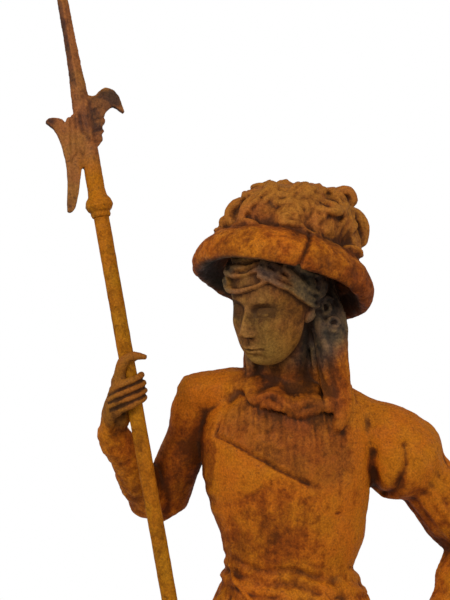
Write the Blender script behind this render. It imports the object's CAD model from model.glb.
# %% [markdown]
# # A rusted iron guard with a halberd
# The real thing is a garden statue of about life size, cast in iron and left to rust. It stands on a low
# plinth and holds a halberd that is a piece of its own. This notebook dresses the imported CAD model: it keeps
# its pose and its size, and adds the carving and the rust that the plain solids leave out.

# %% Load the frame
from math import cos, pi, radians, sin

import bmesh
import bpy
import numpy as np
from mathutils import Matrix, Vector
from mathutils.bvhtree import BVHTree


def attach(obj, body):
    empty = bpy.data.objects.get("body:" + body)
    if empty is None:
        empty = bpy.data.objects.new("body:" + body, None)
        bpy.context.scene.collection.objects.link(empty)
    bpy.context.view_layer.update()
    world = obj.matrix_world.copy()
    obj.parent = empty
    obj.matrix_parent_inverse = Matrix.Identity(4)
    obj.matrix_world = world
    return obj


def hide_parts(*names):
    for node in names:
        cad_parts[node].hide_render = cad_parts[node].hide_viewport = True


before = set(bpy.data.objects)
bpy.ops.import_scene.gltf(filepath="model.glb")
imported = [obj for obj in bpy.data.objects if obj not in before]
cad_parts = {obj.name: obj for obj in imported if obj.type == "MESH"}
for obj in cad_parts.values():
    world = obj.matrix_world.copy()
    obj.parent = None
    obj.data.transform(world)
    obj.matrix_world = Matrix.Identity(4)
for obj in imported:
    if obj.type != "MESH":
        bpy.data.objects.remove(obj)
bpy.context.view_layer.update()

# %% [markdown]
# ## The camera
# The photograph was taken level, at the height of the face, and cuts the statue off below the waist. Its
# lens is found from the height taken for head and hat: a focal length of about 1405 pixels on a picture
# 600 pixels high. Blender puts the sensor's 36 mm along the longer side, so the lens follows from that.

# %% Camera
picture_height = 600
focal_pixels = 1405.4
sensor = 36.0
camera_data = bpy.data.cameras.new("camera")
camera_data.sensor_width = sensor
camera_data.lens = focal_pixels * sensor / picture_height
camera = bpy.data.objects.new("camera", camera_data)
camera.location = (-0.115, -2.600, 1.481)
camera.rotation_euler = (radians(90), 0, 0)
bpy.context.scene.collection.objects.link(camera)
bpy.context.scene.camera = camera
print("lens, mm:", round(camera_data.lens, 1))

# %% [markdown]
# ## Floor
# The statue stands on a plain pale disc.

# %% Floor
scene = bpy.context.scene
scene.view_settings.view_transform = "Standard"
floor_mesh = bpy.data.meshes.new("floor")
floor_shape = bmesh.new()
bmesh.ops.create_circle(floor_shape, cap_ends=True, segments=96, radius=1.5)
floor_shape.to_mesh(floor_mesh)
floor_shape.free()
floor = bpy.data.objects.new("floor", floor_mesh)
scene.collection.objects.link(floor)
floor_finish = bpy.data.materials.new("pale_floor")
floor_finish.use_nodes = True
floor_shader = floor_finish.node_tree.nodes["Principled BSDF"]
floor_shader.inputs["Base Color"].default_value = (0.8, 0.8, 0.79, 1)
floor_shader.inputs["Roughness"].default_value = 0.8
floor_mesh.materials.append(floor_finish)
print("floor corners:", len(floor_mesh.vertices))

# %% [markdown]
# ## Soft light from everywhere
# A studio cut-out has a white ground and light from all sides. The world gives that. It is pure white to the
# camera but much dimmer as a light, so that the hollows of the iron stay dark.

# %% World
world_lights = 0.36
world_shows = 1.0
world = bpy.data.worlds.new("studio")
world.use_nodes = True
scene.world = world
sky = world.node_tree
sky_shader = sky.nodes["Background"]
sky_shader.inputs["Color"].default_value = (1, 1, 1, 1)
seen_by = sky.nodes.new("ShaderNodeLightPath")
brightness = sky.nodes.new("ShaderNodeMix")
brightness.inputs["A"].default_value = world_lights
brightness.inputs["B"].default_value = world_shows
sky.links.new(seen_by.outputs["Is Camera Ray"], brightness.inputs["Factor"])
sky.links.new(brightness.outputs["Result"], sky_shader.inputs["Strength"])
print("world as a light and as a ground:", world_lights, world_shows)

# %% [markdown]
# ## Lamps
# Three large area lamps give the light a direction: one high in front, one from the upper left, and a weaker
# one from the right. The larger a lamp is, the softer its shadows.


# %% Lamps
def lamp(name, place, aim, size, watts):
    light = bpy.data.lights.new(name, "AREA")
    light.size = size
    light.energy = watts
    lit = bpy.data.objects.new(name, light)
    lit.location = place
    lit.rotation_euler = (Vector(aim) - Vector(place)).to_track_quat("-Z", "Y").to_euler()
    scene.collection.objects.link(lit)
    print(name, watts, "watts")


chest = (0, 0, 1.3)
lamp("high_front", (-0.4, -3.0, 3.2), chest, 1.4, 43)
lamp("upper_left", (-2.6, -1.8, 2.5), chest, 1.2, 29)
lamp("right_side", (3.0, -1.4, 2.1), chest, 1.6, 25)

# %% [markdown]
# ## The figure's own measure
# The guard is laid out, as in the CAD, in hundredths of the statue's height above its soles. Any place on
# the figure is then a small plain number: the waist is at 56, the chin near 80. Here `at` turns such a
# place into metres, and `smooth_path` runs a curve through a few of them, as a modeller bends a wire.

# %% The figure's measure
share = 0.0164
soles = 0.0603


def at(x, y, z):
    return Vector((x * share, y * share, soles + z * share))


def smooth_path(points, steps):
    knots = np.array([points[0], *points, points[-1]], float)
    knots[0] = 2 * knots[1] - knots[2]
    knots[-1] = 2 * knots[-2] - knots[-3]
    t = np.linspace(0, len(points) - 1.0001, steps)
    k = t.astype(int)
    u = (t - k)[:, None]
    a, b, c, d = (knots[k + i] for i in range(4))
    return 0.5 * (2 * b + (c - a) * u + (2 * a - 5 * b + 4 * c - d) * u**2 + (3 * b - a - 3 * c + d) * u**3)


print("height of the waist, metres:", round(at(0, 0, 56).z, 3))


# %% [markdown]
# ## One skin
# A cast statue is one skin of iron. Blender's voxel remesh wraps a mesh in a single closed skin, as a wax
# coat is laid over a core. A copy of the CAD figure gets a coarse skin first, smoothed until its facets are
# gone. This core carries the finer modelling.

# %% The smooth core
def merged_copy(node_name):
    shape = bmesh.new()
    shape.from_mesh(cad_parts[node_name].data)
    bmesh.ops.remove_doubles(shape, verts=shape.verts, dist=1e-5)
    return shape


def baked(maker):
    finished = bpy.data.meshes.new_from_object(maker.evaluated_get(bpy.context.evaluated_depsgraph_get()))
    source = maker.data
    bpy.data.objects.remove(maker)
    (bpy.data.curves if isinstance(source, bpy.types.Curve) else bpy.data.meshes).remove(source)
    return finished


def as_object(name, data):
    made = bpy.data.objects.new(name, data)
    scene.collection.objects.link(made)
    return made


def reskinned(name, shape, step, rounds):
    mesh = bpy.data.meshes.new(name)
    shape.to_mesh(mesh)
    shape.free()
    maker = as_object(name, mesh)
    skin = maker.modifiers.new("skin", "REMESH")
    skin.mode = "VOXEL"
    skin.voxel_size = step
    ease = maker.modifiers.new("ease", "SMOOTH")
    ease.factor = 0.5
    ease.iterations = rounds
    return baked(maker)


core_mesh = reskinned("core", merged_copy("figure"), 0.0040, 11)
core_shape = bmesh.new()
core_shape.from_mesh(core_mesh)
core_tree = BVHTree.FromBMesh(core_shape)


print("points of the core:", len(core_mesh.vertices))

# %% [markdown]
# ## Laying things on the core
# Hair and plumes lie on the core. Rays are shot from inside it, and where they leave it is where the hair
# lies, with a small lift. A ray that meets nothing runs on to its full length, so the length given to
# `laid` is also the limit of how far a thing may stand out. The reach is smoothed from ray to ray.

# %% Laying things on the core
def laid(origins, ways, lifts, longest):
    reach = np.empty(len(origins))
    for i, (origin, way, limit) in enumerate(zip(origins, ways, np.broadcast_to(longest, len(origins)))):
        hit = core_tree.ray_cast(Vector(origin), Vector(way), limit)
        reach[i] = hit[3] if hit[0] else limit
    padded = np.pad(reach, 2, mode="edge")
    reach = (padded[:-4] + 2 * padded[1:-3] + 2 * padded[2:-2] + 2 * padded[3:-1] + padded[4:]) / 8
    return origins + ways * (reach + lifts)[:, None]


waist_front = laid(np.array([at(0, 0, 56)]), np.array([[0.0, -1.0, 0.0]]), 0.0, 12 * share)
print("the front of the waist, in shares:", (waist_front[0, 1] / share).round(1))

# %% [markdown]
# ## Rods of modelling wax
# Hair and plumes are worked in wax as many tapering rods laid side by side, before the whole is cast. A
# Blender curve does the same job: each spline is one rod, with its own radius at every point. They are
# turned into a mesh and later fused with the figure, so no seam is left between them.

# %% Wax rods
wax_rods = bpy.data.curves.new("wax_rods", "CURVE")
wax_rods.dimensions = "3D"
wax_rods.bevel_depth = 1.0
wax_rods.bevel_resolution = 2
wax_rods.use_fill_caps = True


def rod(points, radii):
    spline = wax_rods.splines.new("POLY")
    spline.points.add(len(points) - 1)
    for spot, place, radius in zip(spline.points, points, radii):
        spot.co = (*place, 1)
        spot.radius = radius


print("rods so far:", len(wax_rods.splines))


# %% [markdown]
# ## The head's frame
# The head is turned to the halberd and bowed. Everything on it is placed in a frame of its own, in head
# heights: x to the guard's left, y out of the face, z up. The skull and the jaw are two eggs, and the head
# is their outer skin, seen from the centre between the ears.

# %% Head frame and eggs
head_height = 14.0 * share
head_middle = np.array(at(-1.5, -3.6, 86.8))
head_axes = np.array(
    Matrix.Rotation(radians(180 - 37), 3, "Z")
    @ Matrix.Rotation(radians(-16), 3, "X")
    @ Matrix.Rotation(radians(-6), 3, "Y")
)


def in_head(spots):
    flipped = np.asarray(spots, float) * (-1, 1, 1)
    return head_middle + head_height * flipped @ head_axes.T


def to_head(places):
    return ((np.asarray(places) - head_middle) / head_height @ head_axes) * (-1, 1, 1)


def egg_reach(ways, middle, half):
    w = ways / half
    m = np.array(middle) / half
    a = (w * w).sum(1)
    b = w @ m
    inside = b * b - a * (m @ m - 1)
    return np.where(inside > 0, (b + np.sqrt(np.maximum(inside, 0))) / a, 0)


def head_reach(ways):
    skull = egg_reach(ways, (0, -0.06, 0.12), (0.34, 0.44, 0.38))
    jaw = egg_reach(ways, (0, 0.13, -0.17), (0.25, 0.27, 0.33))
    return (skull**9 + jaw**9) ** (1 / 9)


print("face looks along", (in_head([[0, 1, 0]]) - head_middle).round(3).tolist())

# %% [markdown]
# ## Locks on neck and shoulders
# The hair was modelled in strands. Heavy locks fall on the neck and the shoulders, and the thickest, a tress,
# lies before the left shoulder. Each lock is a ring of thin rods that wind slowly round a common path, which
# gives the fluted look of combed hair. A list row holds a lock's thickness, its strands and its path.

# %% Locks on neck and shoulders
def lock(path, thick, strands):
    steps = 30
    line = smooth_path(path, steps)
    t = np.linspace(0, 1, steps)
    width = thick * (1 - 0.62 * t**3)
    way = np.gradient(line, axis=0)
    way /= np.linalg.norm(way, axis=1)[:, None]
    side = np.cross(way, (0.3, -0.9, 0.2))
    side /= np.linalg.norm(side, axis=1)[:, None]
    out = np.cross(side, way)
    winding = 0.35
    ring = 0.80
    for k in range(strands):
        a = 2 * pi * (k / strands + winding * t) + 0.35 * np.sin(8 * t + 2 * k)
        offset = side * (np.cos(a) * width * ring)[:, None] + out * (np.sin(a) * width * ring)[:, None]
        rod(line + offset, width * 2.3 / strands * (1 + 0.22 * sin(2.4 * k)))


tress = [
    (3.7, -1.6, 88.0), (5.0, -3.1, 84.2), (5.1, -3.6, 80.6),
    (5.5, -3.7, 77.6), (5.9, -4.3, 74.8), (5.5, -5.0, 72.8),
]
shoulder_locks = [
    (1.5, 11, tress),
    (1.1, 8, [(2.6, -2.6, 86), (3.9, -3.9, 82.6), (4.3, -3.8, 79.8), (4.4, -4, 77.2), (4.4, -4.8, 74.8)]),
    (1.3, 8, [(1.8, -0.8, 86), (2.9, -1.8, 82.4), (3.3, -1.6, 79.4), (3.8, -1.4, 76.6), (4.3, -1.8, 75)]),
    (1.4, 9, [(3.6, 0.2, 88), (4.9, -0.6, 83.4), (5.2, -1, 79.4), (5.7, -1.2, 76.6), (5.9, -2.2, 74.4)]),
    (1.45, 9, [(3.4, 1.2, 86.5), (3.8, 2, 82), (4, 3.2, 78.2), (4.4, 4.4, 75), (4.2, 5.2, 72.4)]),
    (1.45, 9, [(1.2, 2, 86.5), (1.3, 2.8, 82), (1.4, 4.2, 78), (1.5, 5.4, 74.6), (1.3, 6, 71.6)]),
    (1.45, 9, [(-1.2, 2.2, 86.5), (-1.4, 2.9, 82.4), (-1.3, 4.3, 78.4), (-1.4, 5.4, 75), (-1.2, 6, 72.2)]),
    (1.35, 9, [(-3.4, 1.6, 87), (-3.6, 2.1, 83), (-3.7, 3, 79.6), (-3.8, 4.4, 76.2), (-3.6, 5.2, 73.8)]),
    (1.0, 7, [(-3.8, 0, 86.4), (-3.9, -0.4, 83.4), (-3.8, -0.8, 80.8), (-3.9, -0.6, 78.6), (-4.2, -0.6, 77)]),
]
for thick, strands, path in shoulder_locks:
    lock([at(*p) for p in path], thick * share, strands)
print("rods in the locks:", len(wax_rods.splines))

# %% [markdown]
# ## Waves over the forehead
# Long waves run from one temple over the forehead to the other, under the brim. A wave is a row of rods side
# by side, drawn on the head by two angles, as on a globe: how far round to the left, and how high up. The
# head's own outer skin limits how far out a rod may lie.

# %% Waves over the forehead
def head_ways(round_left, lift_up):
    side, rise = np.radians(round_left), np.radians(lift_up)
    side, rise = np.broadcast_arrays(side, rise)
    return np.stack([np.sin(side) * np.cos(rise), np.cos(side) * np.cos(rise), np.sin(rise)], 1)


def hair_rod(round_left, lift_up, lift, radii, beyond=0.095):
    ways = head_ways(round_left, lift_up)
    longest = (head_reach(ways) + beyond) * head_height
    outward = (in_head(ways) - head_middle) / head_height
    rod(laid(np.repeat(head_middle[None], len(ways), 0), outward, lift * share, longest), radii * share)


hair_steps = 34


def wave(knots, spread, k, size, phase):
    turns = smooth_path([(a + spread[0] * k, b + spread[1] * k) for a, b in knots], hair_steps)
    t = np.linspace(0, 1, hair_steps)
    round_left = turns[:, 0] + 1.2 * np.sin(9 * t + phase)
    lift_up = turns[:, 1] + 1.5 * np.sin(11 * t + phase)
    lift = 0.16 + 0.14 * (-1) ** k + 0.16 * np.sin(2 * pi * t + phase)
    hair_rod(round_left, lift_up, lift, size * (1.0 - 0.45 * t**3))


right_wave = [(-88, 22), (-62, 23), (-34, 22), (-6, 24), (20, 31), (44, 44), (66, 58)]
left_wave = [(14, 38), (32, 36), (50, 27), (66, 13), (84, 1), (104, -8)]
for k in range(5):
    wave(right_wave, (0.6, 7.4), k, 0.38 + 0.05 * sin(5 * k), 0.5 * k)
for k in range(6):
    wave(left_wave, (1.6, 7.6), k, 0.37 + 0.05 * sin(4 * k), 0.5 * k + 2)
print("rods with the waves:", len(wax_rods.splines))

# %% [markdown]
# ## Curls at temples and ears
# A curl is a rod wound into a flat spiral that gets thinner and rises towards its middle. Those at the
# temples are drawn on the head by angles, as the waves are. Those beside the left ear are drawn as seen from
# the front, and laid by rays that run forward.

# %% Curls at temples and ears
def curl(round_left, lift_up, size, turns, thick):
    t = np.linspace(0, 1, hair_steps)
    a = 2 * pi * turns * t + 1.1
    r = size * (1 - 0.86 * t)
    lift = 0.15 + 0.45 * t
    hair_rod(round_left + r * np.cos(a), lift_up + r * np.sin(a), lift, thick * (1.05 - 0.35 * t), 0.20)


def ear_curl(x, z, size, turns, thick):
    t = np.linspace(0, 1, hair_steps)
    a = 2 * pi * turns * t + 0.6
    r = size * (1 - 0.80 * t)
    origins = np.array([at(x + p * cos(q), 0.2, z + p * sin(q)) for p, q in zip(r, a)])
    ways = np.repeat([[0.0, -1.0, 0.0]], len(t), 0)
    rod(laid(origins, ways, (0.10 + 0.30 * t) * share, 5.5 * share), thick * share * (1.05 - 0.35 * t))


for curl_shape in (
    (84, 24, 8, 1.7, 0.32), (94, -22, 9, 1.6, 0.38), (104, 14, 10, 1.6, 0.42),
    (-80, 12, 7, 1.6, 0.32), (-88, -8, 8, -1.5, 0.34),
):
    curl(*curl_shape)
for curl_shape in (
    (3.9, 85.9, 1.15, 1.6, 0.30), (5.0, 84.1, 1.05, -1.5, 0.32),
    (3.0, 87.9, 0.95, -1.5, 0.28), (3.5, 83.3, 0.90, 1.4, 0.28),
):
    ear_curl(*curl_shape)
print("rods of hair:", len(wax_rods.splines))

# %% [markdown]
# ## The hat's round frame
# The hat is turned round an axis of its own that leans with the head. A place on it is then a turn round the
# axis, a distance from it and a height. The crown's outline is one curve in distance and height, and the
# plumes start from it.

# %% Hat frame
hat_middle = np.array(at(-0.55, -2.75, 88.7))
hat_up = np.array(Vector((0.23, 0.28, 0.93)).normalized())
hat_right = np.array((1, 0, 0)) - hat_up * hat_up[0]
hat_right /= np.linalg.norm(hat_right)
hat_back = np.cross(hat_up, hat_right)


def in_hat(places):
    off = (places - hat_middle) / share
    back, right = off @ hat_back, off @ hat_right
    return np.arctan2(back, right), np.hypot(back, right), off @ hat_up


crown_rows = 80
crown_line = smooth_path(
    [
        (0.3, 10.5), (2.6, 10.2), (4.5, 9.6), (5.8, 8.7), (6.4, 7.4),
        (6.9, 6.2), (7.4, 5.1), (7.9, 4.2), (8.6, 3.6),
    ],
    crown_rows,
)
crown_out = np.gradient(crown_line, axis=0)
crown_out = np.stack([-crown_out[:, 1], crown_out[:, 0]], 1)
crown_out /= np.linalg.norm(crown_out, axis=1)[:, None]
crown_length = np.linalg.norm(np.diff(crown_line, axis=0), axis=1).sum()
print("outline of the crown, in shares:", crown_length.round(1))

# %% [markdown]
# ## Plumes on the hat
# The crown is hidden under ostrich plumes in three tiers. Each falls from above in a lazy S and ends in a
# hook, like a fern tip. A plume is a fan of three thin rods with a common path, so that its barbs show as
# ridges. The rods are laid on the core, so they follow its lobes. Three thick tips stand free of the tiers.

# %% Plumes
barbs = 3
hook_size = 0.8
hook_starts = 0.68


def plume(turn, start, end, width, sway, phase, hook, size):
    t = np.linspace(0, 1, 34)
    fall = np.minimum(t / hook_starts, 1)
    bend = np.clip((t - hook_starts) / (1 - hook_starts), 0, 1) * 1.45 * pi
    down = start + (end - start) * fall + hook_size * np.sin(bend) / crown_length
    row = (down.clip(0, 1) * (crown_rows - 1)).astype(int)
    spot, out = crown_line[row], crown_out[row]
    for b in range(barbs):
        across_fan = b / (barbs - 1) - 0.5
        fan = across_fan * width * (0.35 + 0.65 * np.sin(pi * np.minimum(fall, 0.92)))
        across = sway * np.sin(2.2 * pi * fall + phase) + hook * hook_size * (1 - np.cos(bend)) + fan
        around = turn + across / np.maximum(spot[:, 0], 1.0)
        flat = np.cos(around)[:, None] * hat_right + np.sin(around)[:, None] * hat_back
        ways = flat * out[:, :1] + hat_up * out[:, 1:]
        origins = hat_middle + share * (flat * spot[:, :1] + hat_up * spot[:, 1:]) - ways * 2.4 * share
        ridge = -0.08 + 0.20 * np.cos(pi * across_fan)
        lift = ridge + 0.36 * np.sin(2.6 * pi * t + phase) + 0.34 * (bend > 0)
        rod(laid(origins, ways, lift * share, 3.3 * share), size * share * (1.05 - 0.35 * t))


for k in range(15):
    turn = 2 * pi * k / 15 + 0.12 * sin(3 * k)
    plume(turn, 0.36, 0.92 + 0.04 * sin(5 * k), 1.7, 0.50, 1.9 * k, (-1) ** (k // 2), 0.40)
for k in range(10):
    turn = 2 * pi * k / 10 + 0.25 * sin(2 * k)
    plume(turn, 0.12, 0.54 + 0.06 * sin(4 * k), 1.8, 0.6, 2.3 * k + 1, (-1) ** k, 0.42)
for k in range(5):
    turn = 2 * pi * k / 5 + 0.5 * cos(3 * k)
    plume(turn, 0.01, 0.26, 1.8, 0.5, 1.7 * k + 2, (-1) ** k, 0.42)
for tip in (
    [(3.8, -1.0, 97.2), (5.2, -2.0, 98.4), (6.6, -2.0, 98.7), (7.1, -1.8, 97.7), (6.2, -2.0, 97.2)],
    [(5.6, -1.6, 96.6), (7.4, -2.6, 96.2), (8.3, -2.8, 94.9), (8.2, -2.8, 93.2), (7.2, -3.4, 93.0)],
    [(-4.2, -1.4, 97.0), (-5.4, -2.4, 97.4), (-6.4, -2.6, 96.4), (-6.2, -3.0, 95.2), (-5.2, -3.4, 95.4)],
):
    line = smooth_path([at(*p) for p in tip], 26)
    rod(line, share * (0.56 + 0.16 * np.sin(np.linspace(0.4, 2.8, 26))))
print("rods of hair and plumes:", len(wax_rods.splines))

# %% [markdown]
# ## The hand on the shaft
# Fingers are thin and close together, so the coarse core blurs them. They are laid on again as tapering
# rods. The shaft's own line, from its foot to the grip, gives the frame that they wind round: a turn, a
# distance and a height. One thick rod fills the heel of the hand, four fingers close round the shaft, and the
# thumb crosses in front of it.

# %% Hand on the shaft
shaft_radius = 0.014
shaft_foot = Vector((-0.045, -0.175, 0.035))
hand_grip = at(-17.25, -5.2, 77.4)
shaft_way = (hand_grip - shaft_foot).normalized()
shaft_turn = Vector((0, 0, 1)).rotation_difference(shaft_way).to_matrix()
finger_size = 0.46
grip_reach = shaft_radius / share + 1.0 * finger_size
grip_starts = 182


def on_shaft(turn, reach, height):
    a = np.radians(turn)
    spots = np.stack([np.cos(a) * reach, np.sin(a) * reach, height * np.ones_like(a)], 1) * share
    return np.array(hand_grip) + spots @ np.array(shaft_turn).T


def finger(points, sizes):
    line = smooth_path(points, 26)
    swell = np.interp(np.linspace(0, 1, 26), np.linspace(0, 1, len(sizes)), sizes)
    knuckles = 1 + 0.07 * np.cos(np.linspace(0, 5 * pi, 26))
    rod(line, swell * knuckles * share)


heel_path = [(-19.2, -2.9, 72.0), (-18.6, -3.7, 73.6), (-18.1, -4.4, 75.2), (-17.9, -4.8, 76.4)]
finger([at(*p) for p in heel_path], [1.2, 1.15, 1.05, 0.8])
bend = np.linspace(0, 1, 7)
for height, turned, size in ((1.05, 200, 0.47), (0.17, 210, 0.48), (-0.70, 202, 0.46), (-1.45, 185, 0.40)):
    reach = grip_reach + 0.75 * (1 - bend) ** 2
    path = on_shaft(grip_starts + turned * bend, reach, height - 1.35 * (1 - bend))
    finger(path, size * np.array([1.1, 1.06, 1.0, 0.98, 0.94, 0.86, 0.55]))
thumb_turns = [200, 235, 268, 305, 334]
thumb_reach = np.array([1.2, 1.3, 1.4, 1.75, 2.5])
thumb_heights = np.array([0.7, 1.9, 2.75, 2.95, 2.6])
finger(on_shaft(thumb_turns, thumb_reach, thumb_heights), [0.78, 0.68, 0.58, 0.50, 0.32])
print("shaft leans by, degrees:", round(shaft_way.angle(Vector((0, 0, 1))) * 180 / pi, 1))

# %% [markdown]
# ## The hand on the hip
# The left hand is outside the photograph. It rests on the skirt at the hip, with four fingers forward and the
# thumb behind them, each a tapering rod like those of the other hand.

# %% Hand on the hip
for rise, reach in ((1.55, 1.6), (0.5, 2.2), (-0.55, 1.9), (-1.5, 1.2)):
    finger(
        [
            at(13.3, -2.6, 48.2 + rise),
            at(11.9, -4.6, 47.9 + rise * 1.25),
            at(9.9, -6.2, 47.5 + rise * 1.4),
            at(9.9 - reach * 0.75, -6.2 - reach * 0.5, 47.2 + rise * 1.45),
        ],
        [0.66, 0.6, 0.54, 0.34],
    )
hip_thumb = [(15.0, -0.8, 48.7), (13.3, -0.2, 49.5), (11.6, 0.2, 50.0), (9.6, 0.4, 50.2)]
finger([at(*p) for p in hip_thumb], [0.95, 0.78, 0.66, 0.42])
print("rods with the fingers:", len(wax_rods.splines))

# %% [markdown]
# ## Cord of the sash
# A thin cord hangs out of the sash at the front. It is a rod laid on the skirt by rays that run forward from
# inside the waist. Each ray has to start inside the body: one that starts beside it meets nothing, and pulls
# the cord out into the air. The cell prints how far the rays ran, so that this would be seen.

# %% Cord
cord_line = smooth_path(
    [(-6.5, 57.3), (-6.2, 56.2), (-5.4, 55.0), (-4.3, 54.0), (-3.4, 52.6), (-3.3, 50.8)], 40
)
cord_starts = np.array([at(a, -1, b) for a, b in cord_line])
cord_ways = np.repeat([[0.0, -1.0, 0.0]], len(cord_line), 0)
cord_path = laid(cord_starts, cord_ways, 0.12 * share, 12 * share)
rod(cord_path, np.full(len(cord_line), 0.24 * share))
cord_reach = np.linalg.norm(cord_path - cord_starts, axis=1) / share
print("the cord's rays ran, in shares:", cord_reach.min().round(1), "to", cord_reach.max().round(1))
print("longest step between two of them:", np.abs(np.diff(cord_reach)).max().round(2))

# %% [markdown]
# ## Fuse core and rods
# Core and rods are put in one mesh and skinned again, with a finer step, so that no seam is left between
# them. The step of 2.4 mm is fine enough to keep strands of hair and fingers apart.

# %% Fuse the figure
figure_step = 0.0024
rods_mesh = baked(as_object("rods", wax_rods))
core_shape.from_mesh(rods_mesh)
figure_mesh = reskinned("guard", core_shape, figure_step, 2)
print("skin of the figure:", len(figure_mesh.vertices), "points")

# %% [markdown]
# ## Tools for carving
# From here on the points of the skin are moved in code, as a sculptor's tool would. `points` and `normals`
# read the mesh, `put_points` writes it back, and `carve` pushes points along their normals. They handle all
# the points of a mesh at once, which is much faster than one by one.

# %% Carving tools
def points(mesh):
    flat = np.empty(len(mesh.vertices) * 3, np.float32)
    mesh.vertices.foreach_get("co", flat)
    return flat.reshape(-1, 3).astype(float)


def normals(mesh):
    flat = np.empty(len(mesh.vertices) * 3, np.float32)
    mesh.vertex_normals.foreach_get("vector", flat)
    return flat.reshape(-1, 3).astype(float)


def put_points(mesh, places):
    mesh.vertices.foreach_set("co", places.astype(np.float32).ravel())
    mesh.update()


def carve(mesh, depth):
    put_points(mesh, points(mesh) + normals(mesh) * depth[:, None])


print("points that can be moved:", len(points(figure_mesh)))

# %% [markdown]
# ## Easing
# To ease is to draw each value towards the mean of its neighbours along the mesh's edges. `eased_value`
# does it to any value kept on the points, and `soften` to their places, as a wet thumb does on clay.

# %% Easing
def neighbours(mesh):
    pairs = np.empty(len(mesh.edges) * 2, np.int32)
    mesh.edges.foreach_get("vertices", pairs)
    a, b = pairs.reshape(-1, 2).T
    count = len(mesh.vertices)
    return a, b, np.maximum(np.bincount(a, minlength=count) + np.bincount(b, minlength=count), 1)


def eased_value(mesh, values, rounds):
    a, b, links = neighbours(mesh)
    count = len(links)
    for _ in range(rounds):
        pulled = np.bincount(a, values[b], count) + np.bincount(b, values[a], count)
        values = 0.4 * values + 0.6 * pulled / links
    return values


def soften(mesh, share_of, rounds):
    places = points(mesh)
    for _ in range(rounds):
        eased = np.stack([eased_value(mesh, places[:, i], 1) for i in range(3)], 1)
        places += (eased - places) * share_of[:, None]
    put_points(mesh, places)


print("most edges at one point:", int(neighbours(figure_mesh)[2].max()))

# %% [markdown]
# ## Uneven values
# `uneven` is a smooth wandering value made of a few sine waves in random directions, used where something
# should not be regular. `step_up` rises softly from 0 to 1 between two values, and `in_shares` gives places
# in the figure's own measure.

# %% Uneven values
def uneven(places, size, seed):
    draw = np.random.default_rng(seed)
    total = np.zeros(len(places))
    for _ in range(7):
        way = draw.normal(size=3)
        way *= 2 * pi / size * draw.uniform(0.6, 1.5) / np.linalg.norm(way)
        total += np.sin(places @ way + draw.uniform(0, 2 * pi))
    return total / 3.5


def step_up(value, low, high):
    t = np.clip((value - low) / (high - low), 0, 1)
    return t * t * (3 - 2 * t)


def in_shares(places):
    return (places - (0, 0, soles)) / share


print("highest point of the figure, in shares:", in_shares(points(figure_mesh))[:, 2].max().round(1))


# %% [markdown]
# ## The face
# The face is a plain, calm one of the kind found in drawing books: eyes halfway up the head, the nose a
# third of the way from brow to chin, lids lowered. It is made of soft bumps and hollows on the eggs of the
# head, measured in head heights. `face_forward` adds them up into how far each place comes forward.

# %% Forms of the face
def bump(x, z, middle_x, middle_z, wide, tall):
    return np.exp(-(((x - middle_x) / wide) ** 2) - ((z - middle_z) / tall) ** 2)


def face_forward(x, z):
    m = np.abs(x)
    low = step_up(-z, -0.07, 0.16)
    ridge = np.exp(-((x / (0.022 + 0.022 * low)) ** 2))
    nose = ridge * (0.014 + 0.070 * low) * step_up(z, -0.200, -0.168) * step_up(-z, -0.11, -0.02)
    tip = 0.018 * bump(x, z, 0, -0.158, 0.034, 0.028)
    wings = 0.036 * bump(m, z, 0.047, -0.172, 0.020, 0.021)
    nostrils = -0.020 * bump(m, z, 0.026, -0.197, 0.012, 0.008)
    brow = 0.012 * bump(m, z, 0.120, 0.082, 0.085, 0.024) - 0.006 * bump(x, z, 0, 0.055, 0.03, 0.03)
    socket = -0.041 * bump(m, z, 0.112, 0.018, 0.066, 0.040) - 0.012 * bump(m, z, 0.06, 0.0, 0.022, 0.03)
    lid = np.maximum(0, 1 - ((m - 0.128) / 0.064) ** 2 - ((z + 0.004) / 0.040) ** 2)
    lash = -0.016 - 0.014 * (1 - ((m - 0.128) / 0.06) ** 2)
    ball = 0.023 * lid**0.8
    opening = -0.0085 * step_up(lash - z, -0.002, 0.004) * step_up(lid, 0.0, 0.35)
    lower_lid = 0.009 * bump(m, z, 0.126, -0.041, 0.050, 0.008)
    fold_height = 0.030 - 2.2 * (m - 0.122) ** 2
    crease = -0.007 * np.exp(-(((z - fold_height) / 0.006) ** 2)) * bump(m, z, 0.125, 0.026, 0.055, 0.05)
    upper_lip = 0.026 * bump(m, z, 0.024, -0.284, 0.046, 0.014)
    lower_lip = 0.032 * bump(x, z, 0, -0.323, 0.050, 0.016)
    parting = -0.016 * np.exp(-(((z + 0.302 + 0.4 * x**2) / 0.0065) ** 2)) * np.exp(-((x / 0.085) ** 4))
    corners = -0.011 * bump(m, z, 0.089, -0.304, 0.015, 0.017)
    muzzle = 0.014 * bump(m, z, 0.03, -0.26, 0.055, 0.05) - 0.007 * bump(x, z, 0, -0.242, 0.011, 0.026)
    chin = 0.036 * bump(x, z, 0, -0.43, 0.070, 0.045) - 0.013 * bump(x, z, 0, -0.366, 0.06, 0.017)
    cheeks = 0.018 * bump(m, z, 0.165, -0.105, 0.07, 0.065) - 0.010 * bump(m, z, 0.18, -0.25, 0.06, 0.07)
    temples = -0.010 * bump(m, z, 0.26, 0.09, 0.05, 0.08)
    eyes = socket + ball + opening + lower_lid + crease
    mouth = upper_lip + lower_lip + parting + corners + muzzle
    return nose + tip + wings + nostrils + brow + eyes + mouth + chin + cheeks + temples


across_nose = face_forward(np.linspace(-0.3, 0.3, 7), np.full(7, -0.158))
print("forward at the tip of the nose, in head heights:", across_nose.round(3).tolist())

# %% [markdown]
# ## Fit the face on the head
# `face_share` tells how far a point belongs to the face. The skin is split finer there first, because lids
# and lips are only a few millimetres thick. The points then move to the forms above, and the two weights
# fade out towards the hair, so that no edge shows.

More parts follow.
